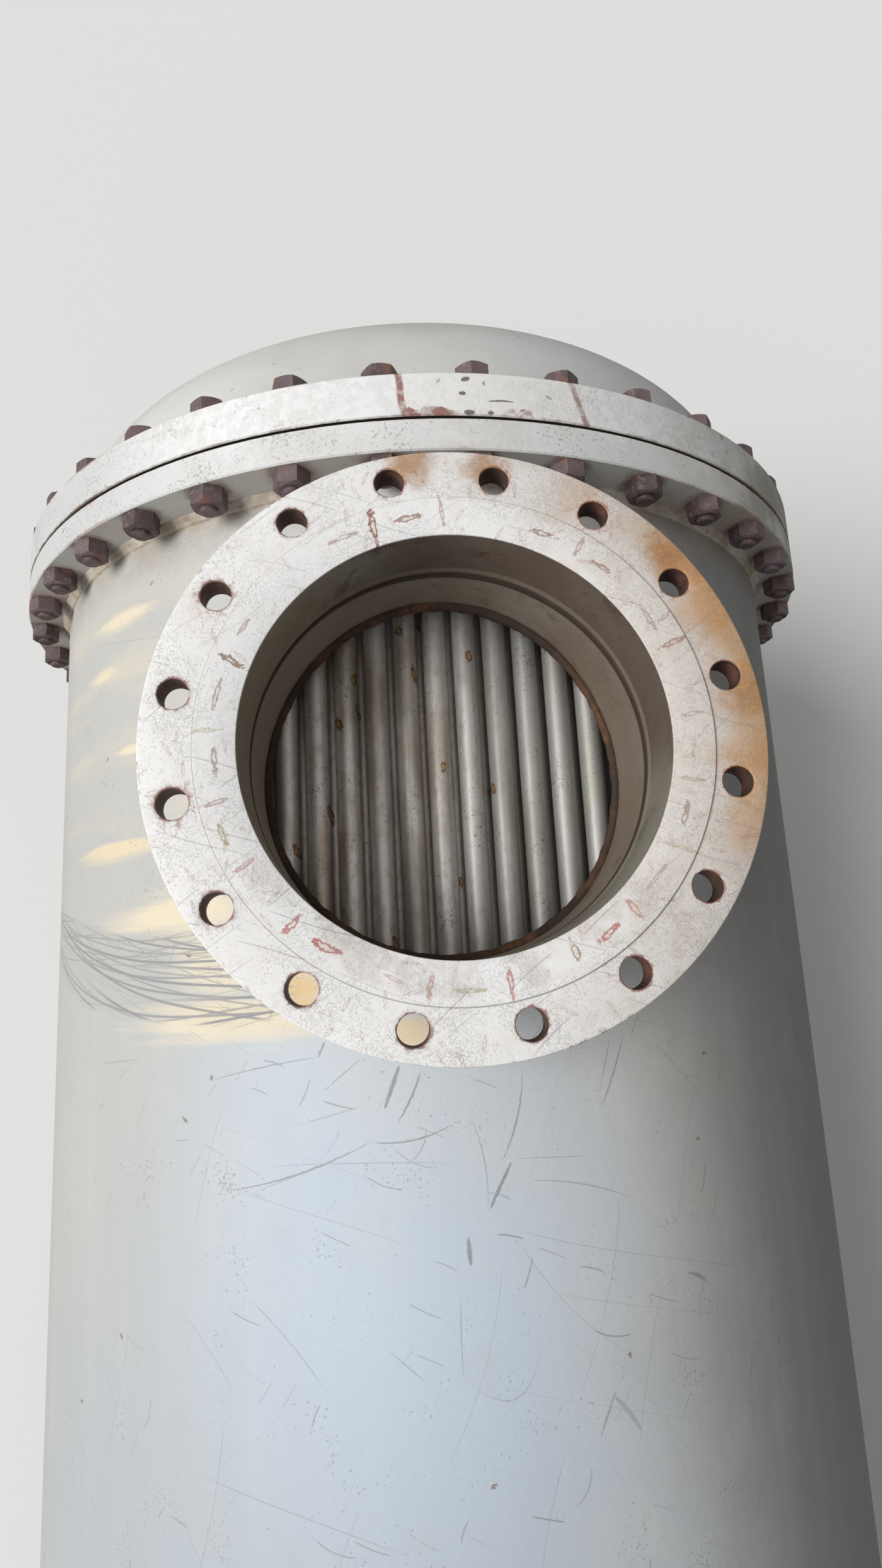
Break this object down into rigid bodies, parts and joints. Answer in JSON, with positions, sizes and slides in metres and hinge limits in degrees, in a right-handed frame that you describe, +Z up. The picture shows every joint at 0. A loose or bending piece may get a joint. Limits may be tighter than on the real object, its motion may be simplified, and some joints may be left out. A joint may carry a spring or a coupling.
{
  "type": "shell and tube heat exchanger",
  "caption": "Horizontal shell and tube heat exchanger with a bolted bonnet and channel, flanged nozzles, a visible tube bundle and two saddles.",
  "frame": {"origin": "on the floor, in the middle of the overall length and width", "axes": "+Y along the shell to the plain bonnet at the far end, +X across the shell, +Z up"},
  "size_m": [1.1298, 4.0882, 1.362],
  "materials": {
    "shell": "matte, weathered",
    "bare_flange": "matte, weathered",
    "head": "matte, weathered",
    "gasket": "matte",
    "inner_plate": "dull, rusty",
    "nozzle_flange": "chipped, rust stains",
    "nozzle_pipe": "dusty, rusty at the welds",
    "tube": "dull steel with rust spots",
    "inner_tubes": "dark",
    "saddle": "matte, weathered"
  },
  "bodies": {
    "root": {"shell": "shell", "far_tubesheet": "bare_flange", "near_tubesheet": "bare_flange", "far_gasket": "gasket", "near_gasket": "gasket", "bonnet_flange": "bare_flange", "bonnet_head": "head", "channel_flange": "bare_flange", "channel_barrel": "head", "channel_head": "head", "pass_plate": "inner_plate", "shell_inlet_flange": "nozzle_flange", "shell_inlet_pipe": "nozzle_pipe", "shell_outlet_flange": "nozzle_flange", "shell_outlet_pipe": "nozzle_pipe", "tube_inlet_flange": "nozzle_flange", "tube_inlet_pipe": "nozzle_pipe", "tube_outlet_flange": "nozzle_flange", "tube_outlet_hub": "nozzle_flange", "tube_outlet_pipe": "nozzle_pipe", "top_tube_row": "tube", "second_tube_row": "tube", "lower_tube_rows": "tube", "inner_tube_block": "inner_tubes", "far_saddle_wear_plate": "saddle", "far_saddle_web": "saddle", "far_saddle_ribs": "saddle", "far_saddle_base": "saddle", "near_saddle_wear_plate": "saddle", "near_saddle_web": "saddle", "near_saddle_ribs": "saddle", "near_saddle_base": "saddle"}
  },
  "joints": []
}
